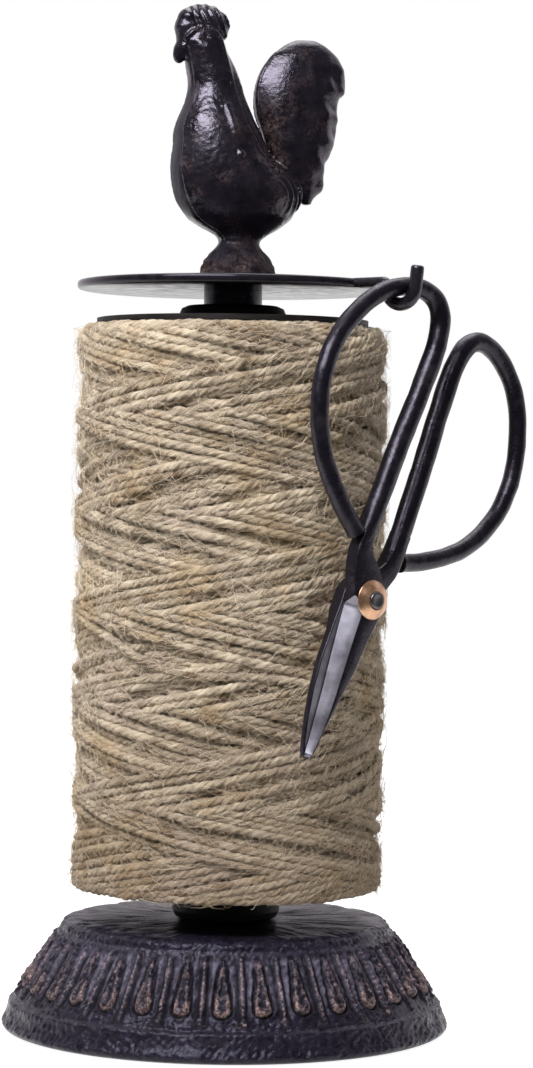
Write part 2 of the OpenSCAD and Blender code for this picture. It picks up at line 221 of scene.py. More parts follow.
def foot_look():
    """Dark waxed iron: bluish ground, painted shade that blackens the hollows, a painted bluish sheen between
    the drops and a reddish brown rub on the raised ornament.
    """
    look = Look("foot_iron")
    grain = look.noise(650, 5, 0.65, distort=0.3)
    fine = look.noise(2200, 3, 0.6)
    cloud = look.noise(70, 3)
    painted_hollow_shade = look.attribute("painted_hollow_shade")
    rub = look.plus(look.attribute("rub"), look.remap(grain, 0.3, 0.7, -0.45, 0.35))
    rub = look.times(look.remap(rub, 0.3, 1.0), look.remap(cloud, 0.3, 0.65, 0.5, 1.0), True)
    # painted sheen: the flank attribute lays a light bluish reflection between the drops
    blue = look.times(look.attribute("flank"), look.remap(cloud, 0.35, 0.65, 0.15, 0.75))
    blue = look.times(blue, look.remap(grain, 0.35, 0.65, 0.25, 1.0))
    ground = look.mix(look.remap(grain, 0.32, 0.7), (9, 7, 12), (37, 32, 45))
    ground = look.mix(blue, ground, (114, 107, 124))
    # painted shade: the hollows are mixed towards near black
    ground = look.mix(look.times(painted_hollow_shade, 0.95), ground, (6, 4, 6))
    brown = look.mix(look.remap(fine, 0.42, 0.68), (80, 63, 60), (184, 156, 146))
    rough = look.plus(look.remap(fine, 0.3, 0.7, 0.2, 0.38), look.times(rub, 0.15))
    rough = look.plus(rough, look.times(painted_hollow_shade, 0.5), True)
    # the flat top is a little duller
    rough = look.plus(rough, look.remap(look.height(), 0.0228, 0.0238, 0.0, 0.05))
    look.base(Base_Color=look.mix(rub, ground, brown), Roughness=rough, Specular_IOR_Level=0.23,
              Specular_Tint=(0.84, 0.82, 1.0, 1.0),
              Normal=look.bump(fine, 0.5, 0.00012, look.bump(grain, 0.52, 0.00036)))
    return look.material


def rooster_look(name, shine, browned):
    """Near-black painted iron with a little brown where it is rubbed; the strip attribute dulls it."""
    look = Look(name)
    hammer = look.noise(1200, 3, 0.55)
    fine = look.noise(2600, 2, 0.5)
    patch = look.noise(260, 5, 0.7)
    speck = look.noise(1500, 3, 0.6)
    rub = look.times(look.attribute("rub"), look.remap(patch, 0.35, 0.7), True)
    rub = look.times(rub, look.remap(speck, 0.4, 0.62))
    colour = look.mix(look.remap(patch, 0.35, 0.7), (14, 12, 17), (27, 23, 30))
    colour = look.mix(look.times(rub, browned), colour, (116, 92, 76))
    rough = look.plus(look.remap(patch, 0.3, 0.7, 0.16, 0.3), look.times(rub, 0.45))
    rough = look.plus(rough, look.times(look.attribute("strip"), 0.4))
    look.base(Base_Color=colour, Roughness=rough, Specular_IOR_Level=shine, Specular_Tint=PURPLE,
              Normal=look.bump(fine, 0.15, 0.00006, look.bump(hammer, 0.42, 0.00025)))
    return look.material


def all_looks():
    looks = {name: worn_look(name, **values) for name, values in WORN.items()}
    looks["foot_iron"] = foot_look()
    looks["rooster_iron"] = rooster_look("rooster_iron", shine=0.55, browned=0.52)
    looks["mound_iron"] = rooster_look("mound_iron", shine=0.14, browned=0.55)
    looks["jute"] = jute_look("jute", (218, 202, 176), (94, 75, 54))
    looks["fibre"] = jute_look("jute_fibre", (240, 226, 202), (168, 140, 104))
    return looks


# Meshes, with points in millimetres

def new_object(name, data):
    thing = bpy.data.objects.new(name, data)
    bpy.context.scene.collection.objects.link(thing)
    return thing


def make_mesh(name, points, faces, material, sharp=None):
    """Smooth piece from points and a list or array of faces; edges over sharp degrees stay sharp."""
    mesh = bpy.data.meshes.new(name)
    faces = faces if isinstance(faces, list) else faces.tolist()
    mesh.from_pydata((np.reshape(points, (-1, 3)) * MM).tolist(), [], faces)
    mesh.polygons.foreach_set("use_smooth", np.full(len(mesh.polygons), True))
    mesh.materials.append(material)
    if sharp:
        mesh.set_sharp_from_angle(angle=math.radians(sharp))
    return new_object(name, mesh)


def add_attribute(piece, name, values):
    layer = piece.data.attributes.new(name, "FLOAT", "POINT")
    layer.data.foreach_set("value", np.asarray(values, np.float32).ravel())


def add_uv(piece, per_point):
    """UV layer from one pair of values per point."""
    layer = piece.data.uv_layers.new(name="along")
    corner = np.empty(len(piece.data.loops), np.int32)
    piece.data.loops.foreach_get("vertex_index", corner)
    layer.data.foreach_set("uv", np.asarray(per_point, np.float32).reshape(-1, 2)[corner].ravel())


def place_piece(piece, body, slot, *nodes):
    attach(piece, body)
    if nodes:
        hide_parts(*nodes)


def grid_faces(rows, columns):
    """Quads between rows of points, each row closed to a ring."""
    here = np.arange((rows - 1) * columns).reshape(-1, columns)
    beside = np.roll(here, -1, 1)
    return np.stack([here, beside, beside + columns, here + columns], -1).reshape(-1, 4)


def capped(rings):
    """Quads and end caps of a row of rings."""
    count, sides = rings.shape[:2]
    last = count * sides
    return [*grid_faces(count, sides).tolist(), range(sides)[::-1], range(last - sides, last)]


def circle(count):
    """Evenly spaced angles all round."""
    return np.arange(count) * (TAU / count)


def unit(vectors):
    return vectors / np.linalg.norm(vectors, axis=-1, keepdims=True)


def polar(radius, turn, height):
    """Points from distances, angles and heights about the Z axis."""
    return np.stack(np.broadcast_arrays(radius * np.cos(turn), radius * np.sin(turn), height), -1)


def revolve(profile, around):
    """Rings of points round the Z axis from [radius, height] points."""
    radius, height = np.transpose(profile)[:, :, None]
    return polar(radius, circle(around), height)


def lathe(name, profile, material, around, sharp=None):
    rings = revolve(profile, around)
    return make_mesh(name, rings, grid_faces(len(rings), around), material, sharp)


def wire_rings(line, along, reach, sides=20):
    """Rings of a wire bent in one plane: their places in the plane and their offsets across it."""
    side = np.stack([along[:, 1], -along[:, 0]], 1)
    turn = circle(sides)
    flat = line[:, None] + side[:, None] * (np.cos(turn) * reach[:, None])[..., None]
    return flat, np.sin(turn) * reach[:, None]


def smooth_curve(points, steps):
    """Smooth curve through points, with the given steps between neighbours."""
    points = np.asarray(points, float)
    wide = np.vstack([points[:1], points, points[-1:]])
    share = np.linspace(0, 1, steps, endpoint=False)[:, None]
    out = []
    for a, b, c, d in zip(wide[:-3], wide[1:-2], wide[2:-1], wide[3:]):
        out.append(0.5 * (2 * b + (c - a) * share + (2 * a - 5 * b + 4 * c - d) * share ** 2
                          + (3 * b - a - 3 * c + d) * share ** 3))
    return np.vstack(out + [points[-1:]])


def evened(line, rounds):
    """Rows of a table smoothed between their ends, which stay."""
    for _ in range(rounds):
        line[1:-1] = (line[:-2] + 2 * line[1:-1] + line[2:]) / 4
    return line


def ease(value, low, high):
    """Smooth step from 0 at low to 1 at high."""
    share = np.clip((value - low) / (high - low), 0, 1)
    return share * share * (3 - 2 * share)


def swell(gap, width):
    """Bell-shaped bump: 1 where the gap is 0, nearly gone at twice the width."""
    return np.exp(-(gap / width) ** 2)


def bell(width):
    """Weights of a bell-shaped blur, three widths to each side."""
    weights = np.exp(-0.5 * (np.arange(-3 * width, 3 * width + 1) / width) ** 2)
    return weights / weights.sum()


def ripple(points, wave, seed):
    """Smooth seeded noise of about one, from sine waves near the given wavelength."""
    waves = 24
    rng = np.random.default_rng(seed)
    total = np.zeros(points.shape[:-1])
    for _ in range(waves):
        way = unit(rng.normal(size=points.shape[-1]))
        total += np.sin(points @ way * (TAU / (wave * rng.uniform(0.7, 1.5))) + rng.uniform(0, 6.3))
    return total / math.sqrt(waves / 2)


# Twine: one strand laid turn by turn on what is already wound

TWINE_LOW, TWINE_HIGH = 30.8, 157.2
TWINE_R = 34.9
STRAND_R = 0.98
END_GAP = 1.05  # the strand's middle stays this far from the ends
LAY = -6.8  # length of one twist of the plies
PASSES = 24
TURNS = 5.956  # turns in one pass down and up
BINS = 480  # samples in a turn
CELL = 0.25  # height of a cell of the wound surface
CARRY = 36  # samples that one turn hands on to the next
BRIDGE = 9  # samples over which the stiff strand bridges a dip
SOFTEN = 6  # samples over which its bends are rounded
SAG_TURN = 1 + 250 / 360  # where one bight hangs slack
SAG = 4.2
CORE_START = 30.0
CORE_LOW, CORE_HIGH = 32.55, 156.75
FLANGE_R = 30.3
TUBE_R = 9.1
# Outer radius of the package as [height, radius]
GIRTH = [[31, 34.5], [60, 34.5], [80, 34.9], [100, 34.9], [118, 34.6], [142, 34.6], [157, 34.4]]


def drift(count, knots, size, rng):
    """Slow random wander of about the given size."""
    values = rng.normal(0, size, knots)
    return np.interp(np.linspace(0, knots - 1, count), np.arange(knots), values)


def skirt(height):
    """How far the package draws in near its ends: round above, nearly square below."""
    above = 3.3 * np.clip(1 - (TWINE_HIGH - height) / 5.5, 0, 1) ** 2
    return above + 0.9 * np.clip(1 - (height - TWINE_LOW) / 4, 0, 1) ** 2


def blur(field, width, axis, closed):
    """Bell-shaped blur along one axis; closed wraps round."""
    pads = [(0, 0), (0, 0)]
    pads[axis] = (3 * width, 3 * width)
    padded = np.pad(field, pads, mode="wrap" if closed else "edge")
    weights = bell(width)
    return np.apply_along_axis(lambda row: np.convolve(row, weights, mode="valid"), axis, padded)


def strand_course():
    """Turn, height, half thickness and slackness along the strand, sample by sample."""
    rng = np.random.default_rng(11)
    count = int(PASSES * TURNS * BINS)
    turn = -(PASSES - 1) * TURNS - TURNS / 2 + np.arange(count) / BINS
    low, high = TWINE_LOW - 0.3, TWINE_HIGH + 0.3
    fold = np.arccos(0.999 * np.cos(TAU * turn / TURNS)) / TAU
    height = high - 2 * (high - low) * fold
    inner = np.clip(np.minimum(height - low, high - height) / 8, 0, 1)
    height += inner * (drift(count, count // 110, 0.28, rng) + drift(count, PASSES * 2, 0.3, rng))
    height = np.clip(height, TWINE_LOW + END_GAP, TWINE_HIGH - END_GAP)
    # one slack bight of the last falling strand at the front left
    slack = swell(turn - SAG_TURN, 0.075)
    height -= SAG * slack
    thick = STRAND_R * (1 + drift(count, count // 60, 0.06, rng) + drift(count, count // 16, 0.05, rng))
    return turn, height, thick, slack


def wind(turn, height, thick):
    """Radius at which each sample comes to rest, the wound surface, and each sample's cell of it."""
    levels = np.arange(TWINE_LOW - 4, TWINE_HIGH + 4, CELL)
    edge = np.minimum(levels - TWINE_LOW, TWINE_HIGH - levels)
    surface = np.tile(CORE_START - 3.6 * np.clip(1 - edge / 6.5, 0, 1.4) ** 2, (BINS, 1))
    columns = np.round(turn * BINS).astype(int) % BINS
    rows = np.round((height - levels[0]) / CELL).astype(int)
    reach = int(STRAND_R * 1.2 / CELL)
    weights = bell(SOFTEN)
    radius = np.zeros(len(turn))
    before = np.zeros(0)
    for start in range(0, len(turn), BINS):
        run = slice(start, start + BINS + CARRY)
        column = columns[run, None]
        cells = np.clip(rows[run, None] + np.arange(-reach, reach + 1), 0, len(levels) - 1)
        gap = levels[cells] - height[run, None]
        dome = np.sqrt(np.clip(thick[run, None] ** 2 - gap ** 2, 0, None))
        rest = np.where(dome > 0, surface[column, cells] + 0.8 * dome, 0).max(1)
        line = np.concatenate([before, rest])
        wide = np.pad(line, BRIDGE, mode="edge")
        line = np.max([wide[k:k + len(line)] for k in range(0, 2 * BRIDGE + 1, 3)], axis=0)
        line = np.convolve(np.pad(line, 3 * SOFTEN, mode="edge"), weights, mode="valid")
        keep = min(BINS, len(rest))
        laid = line[len(before):len(before) + keep]
        radius[start:start + keep] = laid
        before = rest[keep - CARRY:keep]
        spot = column[:keep], cells[:keep]
        top = np.where(dome[:keep] > 0, laid[:, None] + dome[:keep], 0)
        surface[spot] = np.maximum(surface[spot], top)
    return radius, surface, (columns, np.clip(rows, 0, len(levels) - 1))


def lay_strand():
    """Angle, height, radius and half thickness of the strand, and whether it lies outermost."""
    turn, height, thick, slack = strand_course()
    radius, surface, cell = wind(turn, height, thick)
    shown = radius + thick > surface[cell] - 0.3
    # even out the package: wide humps go, the local over and under stays
    level = blur(blur(surface, 30, 0, True), 24, 1, False)
    depth = np.clip(level[cell] - radius, -1.4, 6)
    girth = np.interp(height, *np.transpose(GIRTH))
    radius = girth - 1.08 - 0.3 * depth - skirt(height) + 0.7 * slack
    radius = np.minimum(radius, girth + 0.1 - thick)
    # the end turns lie round the flanges, not in them
    ends = (height < CORE_LOW + 1.2) | (height > CORE_HIGH - 1.2)
    radius = np.where(ends, np.maximum(radius, FLANGE_R + thick + 0.05), radius)
    return TAU * turn, height, radius, thick, shown


def strand_frames(angle, height, radius):
    """Points with their directions along the strand, outwards and sideways."""
    line = polar(radius, angle, height)
    along = unit(np.gradient(line, axis=0))
    out = polar(1, angle, 0)
    out = unit(out - along * (out * along).sum(1)[:, None])
    return line, along, out, np.cross(along, out)


RING_STEP = 0.62
PIECE_RINGS = 7800
PLIES = 3
# One ply's share of the strand's round: reach, and painted light and shade (lighter crown, darker groove), at
# its crown, flank, groove and flank
PLY_REACH = [1.08, 1.0, 0.8, 1.0]
PLY_PAINTED_SHADING = [0.2, 0.0, -0.8, 0.0]


def twine_strand(looks, laid):
    """The strand as a three-ply twisted tube, cut into pieces that share their end rings."""
    line = strand_frames(*laid[:3])[0]
    length = np.concatenate([[0], np.cumsum(np.linalg.norm(np.diff(line, axis=0), axis=1))])
    at = np.arange(0, length[-1], RING_STEP)
    angle, height, radius, thick = (np.interp(at, length, v) for v in laid[:4])
    line, _, out, side = (v[:, None] for v in strand_frames(angle, height, radius))
    along = at[:, None]
    sides = PLIES * len(PLY_REACH)
    phase = circle(sides)
    twist = phase + (TAU / LAY) * along
    reach = thick[:, None] * np.tile(PLY_REACH, PLIES) * (1 + 0.04 * ripple(along, 5.0, 3)[:, None])
    points = line + out * (np.cos(twist) * reach)[..., None] + side * (np.sin(twist) * reach)[..., None]
    tone = ripple(along, 60.0, 5) * 0.5 + ripple(along, 7.0, 6) * 0.4
    # painted shade darkens each ply's groove and a painted highlight lightens its crown, on top of the random
    # tone
    tone_and_painted_shading = tone[:, None] + np.tile(PLY_PAINTED_SHADING, PLIES)
    # fibres run along the strand, so the UV is the length along it and the way round it in millimetres
    uv = np.stack(np.broadcast_arrays(along, phase / TAU * 6.3), -1)
    for number, start in enumerate(range(0, len(at) - 1, PIECE_RINGS), 1):
        block = slice(start, start + PIECE_RINGS + 1)
        faces = grid_faces(len(at[block]), sides)[:, ::-1]
        piece = make_mesh(f"twine_strand_{number}", points[block], faces, looks["jute"])
        add_attribute(piece, "tone", tone_and_painted_shading[block])
        add_uv(piece, uv[block])
        place_piece(piece, "spool", "jute", "twine_winding")


def twine_heart(looks, laid):
    """Wound body under the visible strands, closed at both ends."""
    heights = np.linspace(CORE_LOW, CORE_HIGH, 60)
    radius = np.percentile(laid[2], 1) - 0.4 - skirt(heights)
    profile = [(TUBE_R, CORE_LOW), *zip(radius, heights), (TUBE_R, CORE_HIGH)]
    piece = lathe("twine_heart", profile, looks["jute"], 160)
    # painted shade: the wound body seen between the strands is made darker
    add_attribute(piece, "tone", np.full(len(piece.data.vertices), -0.4))
    place_piece(piece, "spool", "jute", "twine_core")


FIBRES = 10000  # in each set
FIBRE_SETS = 5
LONG_HAIRS = 200  # of each set
FIBRE_RINGS, FIBRE_SIDES = 4, 3


def twine_fibres(looks, laid):
    """Loose fibres on the outer strands: short fuzz, and a few long straight hairs."""
    angle, height, radius, thick, shown = laid
    outer = np.nonzero(shown)[0]
    frames = strand_frames(angle, height, radius)
    share = np.linspace(0, 1, FIBRE_RINGS)[:, None]
    spin = circle(FIBRE_SIDES)[:, None]
    one_each = (FIBRES, 1)
    points_each = FIBRE_RINGS * FIBRE_SIDES
    faces = grid_faces(FIBRE_RINGS, FIBRE_SIDES) + np.arange(FIBRES)[:, None, None] * points_each
    for number in range(1, FIBRE_SETS + 1):
        rng = np.random.default_rng(20 + number)
        pick = rng.choice(outer, FIBRES)
        line, along, out, side = (v[pick] for v in frames)
        roll = rng.normal(0, 0.8, one_each)
        lift = out * np.cos(roll) + side * np.sin(roll)
        start = line + thick[pick, None] * 0.9 * lift
        size = rng.gamma(2.0, 1.0, one_each) + 0.9
        size[:LONG_HAIRS] = rng.uniform(6, 13, (LONG_HAIRS, 1))
        way = unit(along * rng.choice([-1, 1], one_each) + side * rng.normal(0, 0.95, one_each)
                   + lift * rng.gamma(1.6, 0.12, one_each))
        bend = rng.normal(0, 0.3, (FIBRES, 3)) - out * rng.uniform(0.0, 0.25, one_each)
        bend[:LONG_HAIRS] *= 0.35
        path = start[:, None] + (way[:, None] * share + bend[:, None] * share ** 2) * size[:, None]
        reach = np.linalg.norm(path[..., :2], axis=-1, keepdims=True)
        path[..., :2] *= np.minimum(1, (TWINE_R + 0.7) / reach)
        path[..., 2] = np.clip(path[..., 2], TWINE_LOW + 0.1, TWINE_HIGH - 1.4)
        thin = rng.uniform(0.04, 0.075, (FIBRES, 1, 1, 1)) * (1 - 0.6 * share[:, None])
        ring = out[:, None] * np.cos(spin) + np.cross(way, out)[:, None] * np.sin(spin)
        points = path[:, :, None] + thin * ring[:, None]
        piece = make_mesh(f"twine_fibres_{number}", points, faces.reshape(-1, 4), looks["fibre"])
        add_attribute(piece, "tone", np.repeat(rng.normal(0.3, 1.0, FIBRES), points_each))
        place_piece(piece, "spool", "jute")


# Foot: turned shell whose flank carries cast drops and beaded ridges

DROPS = 32
FOOT_TOP = 24.2
FOOT_BORE = 4.1
ROOF = FOOT_TOP - 5.05  # of the hollow below
FLANK_LOW = np.array([46.9, 7.02])
FLANK_TOP = np.array([37.3, 21.8])
FLANK_L = float(np.linalg.norm(FLANK_TOP - FLANK_LOW))
SEAT_END = (12, 16)  # the top is level within the first radius, for the hub, and cast beyond the second
FRONT = -math.pi / 2


def capsule(across, up, low, high, low_r, high_r):
    """Signed distance to a drop: a wide round end below and a narrow one above."""
    across = np.abs(across)
    rise = high - low
    slope = (low_r - high_r) / rise
    level = np.sqrt(1 - slope * slope)
    along = -slope * across + level * (up - low)
    from_low = np.hypot(across, up - low) - low_r
    from_high = np.hypot(across, up - high) - high_r
    between = level * across + slope * (up - low) - low_r
    return np.where(along < 0, from_low, np.where(along > level * rise, from_high, between))


def flank_relief(turn, up):
    """Height of the ornament by angle and distance up the flank, its rub, the painted shade of its hollows
    and the painted bluish sheen of its field.
    """
    radius = FLANK_LOW[0] + (FLANK_TOP[0] - FLANK_LOW[0]) * up / FLANK_L
    pitch = TAU / DROPS
    number = np.round((turn - FRONT) / pitch)
    offset = (turn - FRONT) - number * pitch
    pick = number.astype(int) % DROPS
    rng = np.random.default_rng(31)
    sway = rng.normal(0, 0.2, DROPS)[pick]
    lift = rng.normal(0, 0.22, DROPS)[pick]
    spot = polar(radius, turn, up)
    # a drop has a rim, a hollow inside it, and a beaded dome with a well
    across = offset * radius + sway * (up / FLANK_L - 0.4) + 0.06 * ripple(spot, 4.0, 33)
    outer = capsule(across, up, 4.9 + lift, 15.9, 2.7, 1.2)
    inner = capsule(across, up, 4.7 + lift, 15.4, 1.85, 0.68)
    well = capsule(across, up, 5.3 + lift, 11.0, 0.7, 0.2)
    rim = 0.42 * swell(outer + 0.2, 0.26)
    hollow = ease(-outer, -0.1, 0.5) * (1 - ease(-inner, -0.1, 0.3)) * (1 - 0.75 * ease(up, 13.5, 15.5))
    dome = 0.85 * np.sqrt(np.clip(-inner / 0.7, 0, 1))
    beads = 0.06 * np.clip(-inner / 0.4, 0, 1) * np.sin(up * 4.6 + 2.0 * number + 3 * across)
    drop = rim - 0.7 * hollow + dome - 0.4 * ease(-well, -0.45, 0.4) + beads
    # a beaded ridge stands between two drops, with a ditch on each side
    side = (np.abs(offset) - pitch / 2) * radius + 0.05 * ripple(spot, 4.0, 34)
    width = 0.46 + 0.95 * ease(-up, -3.0, -0.4)
    beading = np.sin(up * 5.4 + 2.7 * number)
    ridge_at = ease(up, 0.15, 0.5) * (1 - ease(up, 15.8, 17.0))
    ridge = ridge_at * swell(side, width) * (0.9 + 0.1 * beading)
    ditch = ridge_at * swell(np.abs(side) - 1.05, 0.42) * ease(up, 2.0, 4.0)
    fade = ease(up, 0.0, 0.4) * (1 - ease(up, FLANK_L - 1.0, FLANK_L))
    relief = (drop + 0.75 * ridge - 0.55 * ditch) * fade
    # where it is rubbed brown, painted shade that blackens the hollows, and a painted bluish sheen between
    # the drops
    in_well = ease(-well, -0.3, 0.4)
    dome_foot = swell(inner + 0.35, 0.35) * (1 - ease(up, 6.0, 9.0))
    ridge_rub = ridge * (0.7 + 0.35 * beading) * (0.5 + 0.5 * ease(up, 1.5, 4.5))
    rub = (0.58 * dome + 0.56 * dome_foot + 0.6 * rim + ridge_rub - 0.26 * in_well) * fade
    # painted shade mask of the hollows, the wells and the ditches beside the ridges
    painted_hollow_shade = ease(-outer, -0.1, 0.3) * (1 - ease(-inner, 0.0, 0.25)) + 0.5 * in_well
    painted_hollow_shade = painted_hollow_shade + 1.2 * swell(np.abs(side) - 0.9, 0.4) * ridge_at
    painted_hollow_shade = np.clip(painted_hollow_shade, 0, 1) * fade * (1 - 0.6 * ease(up, 14.0, 15.8))
    # where the painted bluish sheen lies
    field = ease(up, 3.0, 8.0) * (1 - 0.8 * ease(up, 14.5, 16.5)) * (1 - 0.9 * ease(-outer, 0.3, 0.8))
    return relief, rub, painted_hollow_shade, field


def foot_rows():
    """Rows [radius, height, distance up the flank or -1] from the top to the hollow, and how many are its."""
    top = [[radius, FOOT_TOP] for radius in (FOOT_BORE, 8, 13, 18, 22, 26, 29, 31.5, 33.2)]
    lip = smooth_curve([[34.4, FOOT_TOP - 0.04], [35.8, FOOT_TOP - 0.3], [36.6, FOOT_TOP - 0.85],
                        [36.95, FOOT_TOP - 1.5], [37.05, FOOT_TOP - 2.1]], 3)
    ledge = [[47.1, 6.8], [47.5, 6.62], [47.9, 6.42]]
    band = smooth_curve([[48.3, 6.15], [48.65, 4.5], [49.1, 3.2], [49.75, 1.9], [49.9, 1.2],
                         [49.4, 0.45], [48.3, 0.03]], 4)
    under = [[47, 0], [46, 0.1], [45.5, 2], [39, 9.8], [32.9, ROOF - 1.95], [30.9, ROOF], [15, ROOF],
             [FOOT_BORE, ROOF], [FOOT_BORE, FOOT_TOP]]
    flank = [[*(FLANK_LOW + (FLANK_TOP - FLANK_LOW) * s), s * FLANK_L] for s in np.linspace(1, 0, 66)]
    above, below = ([[*p, -1] for p in np.vstack(rows)] for rows in ((top, lip), (ledge, band, under)))
    return np.array(above + flank + below), len(under)


def foot(looks):
    """Hollow cast foot; its hollow is plain and the rest a little uneven, as cast."""
    rows, hidden = foot_rows()
    around = DROPS * 24
    turn = circle(around) + FRONT
    up = np.broadcast_to(rows[:, 2:], (len(rows), around))
    on_flank = up >= 0
    relief, rub, painted_hollow_shade, field = flank_relief(np.broadcast_to(turn, up.shape), np.clip(up, 0, None))
    relief = np.where(on_flank, relief + 0.05, 0)
    way = np.array([FLANK_TOP[1] - FLANK_LOW[1], FLANK_LOW[0] - FLANK_TOP[0]]) / FLANK_L
    radius = rows[:, :1] + relief * way[0]
    height = rows[:, 1:2] + relief * way[1]
    points = polar(radius, turn, height)
    shell = np.arange(len(rows))[:, None] < len(rows) - hidden
    cast = np.clip(0.1 * ripple(points, 7.0, 41) + 0.09 * ripple(points, 1.3, 42), -0.35, 0.14)
    cast = np.where(shell, cast * ease(rows[:, 1:2], 0.2, 1.5) - 0.12, 0) * ease(rows[:, :1], *SEAT_END)
    points = points + polar(1, turn, 0.7) * cast[..., None]
    points[..., 2] = np.maximum(points[..., 2], 0)
    piece = make_mesh("foot", points, grid_faces(len(rows), around)[:, ::-1], looks["foot_iron"])
    add_attribute(piece, "rub", np.where(on_flank, rub, 0.1))
    # painted shade of the hollows
    add_attribute(piece, "painted_hollow_shade", np.where(on_flank, painted_hollow_shade, 0.0))
    # where the painted bluish sheen lies
    add_attribute(piece, "flank", np.where(on_flank, field, 0))
    place_piece(piece, "stand", "foot_iron", "base")


# Rooster: smooth solid from a field of distances, with cast details

ROOSTER_YAW = math.radians(15)
DISC_TOP = 166.4
MOUND_TOP = 9.2
FLAT = 2.25  # power of the ovals: 2 is an ellipse, more is squarer

# Outline seen from the front as [height, left, right, half width of the casting]
BODY = [[0.0, -7.4, 9.4, 8.4], [2.7, -7.1, 9.1, 8.0], [4.1, -6.9, 8.3, 7.2], [5.4, -6.1, 7.7, 6.5],
        [6.7, -5.3, 6.8, 5.7], [8.1, -3.7, 5.7, 4.7], [9.4, -3.3, 5.9, 4.6], [10.8, -4.4, 7.9, 5.4],
        [12.1, -7.1, 10.1, 6.8], [13.4, -9.4, 11.8, 8.1], [14.7, -10.7, 12.9, 9.0], [17.4, -12.8, 14.5, 10.1],
        [20.0, -13.7, 14.9, 10.5], [22.7, -14.2, 13.3, 10.5], [25.4, -14.4, 10.6, 10.3],
        [28.0, -14.2, 8.1, 10.0], [30.7, -13.8, 6.9, 9.7], [33.4, -13.8, 5.7, 9.2], [36.1, -13.0, 4.3, 8.3],
        [38.8, -11.7, 3.1, 7.2], [41.4, -11.0, 2.1, 6.2], [44.1, -10.6, 1.2, 5.6], [46.8, -11.0, 0.3, 5.3],
        [49.4, -11.4, -0.9, 5.0], [52.1, -11.9, -2.2, 4.8], [53.6, -12.0, -2.7, 4.6],
        [54.8, -11.8, -3.0, 4.2], [56.0, -11.0, -3.6, 3.4], [56.9, -9.4, -4.8, 2.0]]
TAIL = [[17.8, 15.4, 17.2, 1.0], [19.0, 14.0, 17.8, 1.8], [20.4, 12.6, 19.1, 2.5], [21.7, 11.4, 20.0, 3.2],
        [24.3, 9.6, 20.0, 4.2], [27.0, 8.2, 20.2, 4.9], [29.6, 7.2, 21.9, 5.4], [32.3, 6.2, 22.5, 5.7],
        [35.0, 5.2, 22.7, 5.8], [37.6, 4.2, 22.9, 5.8], [40.3, 3.9, 22.9, 5.7], [43.0, 3.9, 24.5, 5.5],
        [45.6, 4.5, 25.1, 5.2], [48.3, 5.6, 24.5, 4.7], [51.0, 7.7, 22.9, 4.0], [52.4, 9.2, 21.6, 3.4],
        [53.8, 11.3, 19.5, 2.4], [54.7, 13.5, 17.4, 1.1]]
# Edge of the neck's feathers in side view
HOOD = [(-12.3, 53.6), (-10.7, 55.2), (-9.2, 56), (-7.6, 56.3), (-5.8, 55.8), (-4.6, 54.6), (-3.8, 52.3),
        (-2.8, 47.8), (-2.1, 44.5), (-1, 39.9), (1.1, 34.1), (4.3, 28.7), (7.9, 24.6)]
SIDE_STRIP = [(-3.6, 38.7), (-2.8, 35.5), (-1.95, 32.4)]
# Lumps as [middle, reach, fillet]
COMB_LUMPS = [((-11.9, 0, 56.2), (2.0, 2.6, 1.9), 0.7), ((-11.3, 0, 58.6), (1.7, 2.7, 1.6), 0.7)]
HEAD_LUMPS = [((-11.6, 0, 53.4), (1.9, 2.4, 2.2), 1.0), ((-12.3, 0, 51.4), (2.0, 1.9, 1.8), 0.8),
              ((-13.0, 0, 49.8), (1.3, 1.1, 1.6), 0.7)]
CHEEK_KNOB = [((-12.3, 1.8, 52.0), (0.75, 0.75, 0.7), 0.3)]


def slice_field(outline, x, y, z, seam):
    """Signed distance, about, to a stack of ovals with a seam groove beside the front edge."""
    table = smooth_curve(outline, 8)
    table[:, 1:] = evened(table[:, 1:], 20)
    left, right, half = (np.interp(z, table[:, 0], table[:, k]) for k in (1, 2, 3))
    middle = (left + right) / 2 / math.cos(ROOSTER_YAW)
    seen = (right - left) / 2
    share = FLAT / (FLAT - 1)
    reach = np.maximum(seen ** share - (half * math.sin(ROOSTER_YAW)) ** share, 0.1 * seen ** share)
    reach = reach ** (1 / share) / math.cos(ROOSTER_YAW)
    around = (np.abs((x - middle) / reach) ** FLAT + np.abs(y / half) ** FLAT) ** (1 / FLAT)
    inside = (around - 1) * np.minimum(reach, half)
    front = ease(middle - x, 0.0, 2.0)
    gap = np.abs(y) - seam * half
    groove = 0.34 * swell(gap, 0.38) - 0.22 * swell(gap - 0.75, 0.5)
    inside = inside + groove * front * ease(half, 2.2, 4.0)
    ends = np.maximum(outline[0][0] - z, z - outline[-1][0])
    return np.maximum(inside, ends)


def blend(a, b, width):
    """Union with a fillet."""
    share = np.clip(0.5 + 0.5 * (b - a) / width, 0, 1)
    return b * (1 - share) + a * share - width * share * (1 - share)


def ball(x, y, z, middle, reach):
    """Signed distance, about, to an ellipsoid."""
    scaled = np.sqrt(sum(((v - m) / r) ** 2 for v, m, r in zip((x, y, z), middle, reach)))
    return (scaled - 1) * min(reach)


def with_lumps(shape, lumps, x, y, z):
    for middle, reach, fillet in lumps:
        shape = blend(shape, ball(x, y, z, middle, reach), fillet)
    return shape


def line_gap(x, z, points):
    """Distance in side view to a chain of straight lines."""
    best = np.full(np.broadcast(x, z).shape, 99.0)
    for (ax, az), (bx, bz) in zip(points[:-1], points[1:]):
        span = (bx - ax) ** 2 + (bz - az) ** 2
        share = np.clip(((x - ax) * (bx - ax) + (z - az) * (bz - az)) / span, 0, 1)
        best = np.minimum(best, np.hypot(x - ax - share * (bx - ax), z - az - share * (bz - az)))
    return best


